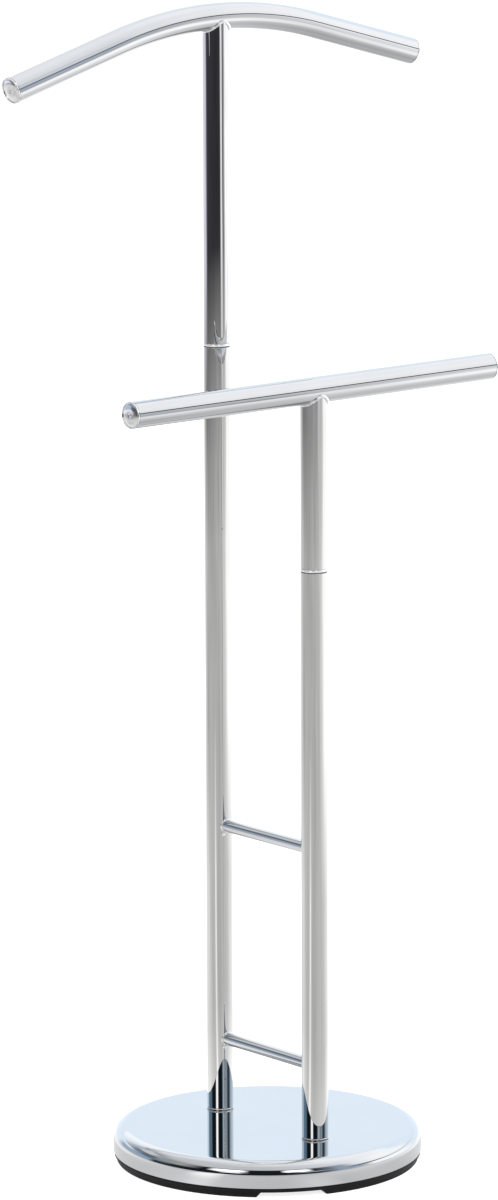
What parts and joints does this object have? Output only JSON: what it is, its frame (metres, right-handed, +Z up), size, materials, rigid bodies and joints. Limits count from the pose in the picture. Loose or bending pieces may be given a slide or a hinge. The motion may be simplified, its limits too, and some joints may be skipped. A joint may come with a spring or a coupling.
{
  "type": "valet stand",
  "caption": "Free-standing chromed tube valet stand with a round weighted base, a curved jacket hanger and a lower straight trouser bar, both on posts that turn.",
  "frame": {"origin": "centre of the round base on the floor", "axes": "+Z up, +X along the trouser bar and the hanger, -Y towards the user: the front post with the trouser bar is at -Y, the rear post with the hanger at +Y"},
  "size_m": [0.4652, 0.28, 1.047],
  "materials": {
    "chrome_base": "mirror-bright chrome plating on pressed sheet steel",
    "cement": "rough cast cement, hidden",
    "black_plastic": "matt black moulded plastic",
    "chrome_tube": "mirror-bright chrome plating on round steel tube",
    "chrome_ring": "bright chrome",
    "collar": "bright silver collar",
    "joint_steel": "plain turned steel, hidden",
    "fastener": "zinc-plated steel, hidden",
    "satin_cap": "satin silver with a brighter rim"
  },
  "bodies": {
    "stand": {"base_cover": "chrome_base", "base_ballast": "cement", "base_pan": "black_plastic", "rear_lower_tube": "chrome_tube", "front_lower_tube": "chrome_tube", "upper_rung": "chrome_tube", "lower_rung": "chrome_tube", "rear_foot_ring": "chrome_ring", "front_foot_ring": "chrome_ring", "rear_joint_bush": "collar", "front_joint_bush": "collar", "rear_post_bolt": "fastener", "front_post_bolt": "fastener", "rear_post_washer": "fastener", "front_post_washer": "fastener", "rear_foot_insert": "fastener", "front_foot_insert": "fastener"},
    "hanger_head": {"rear_joint_pin": "joint_steel", "rear_upper_tube": "chrome_tube", "hanger_tube": "chrome_tube", "hanger_cap_left": "satin_cap", "hanger_cap_right": "satin_cap"},
    "trouser_head": {"front_joint_pin": "joint_steel", "front_upper_tube": "chrome_tube", "trouser_bar": "chrome_tube", "bar_cap_left": "satin_cap", "bar_cap_right": "satin_cap"}
  },
  "joints": [
    {"name": "hanger_swivel", "type": "hinge", "parent": "stand", "child": "hanger_head", "pos_m": [0, 0.068, 0.7398], "axis": [0, 0, 1], "continuous": true},
    {"name": "trouser_bar_swivel", "type": "hinge", "parent": "stand", "child": "trouser_head", "pos_m": [0, -0.068, 0.5535], "axis": [0, 0, 1], "range_deg": [-79, 79]}
  ]
}
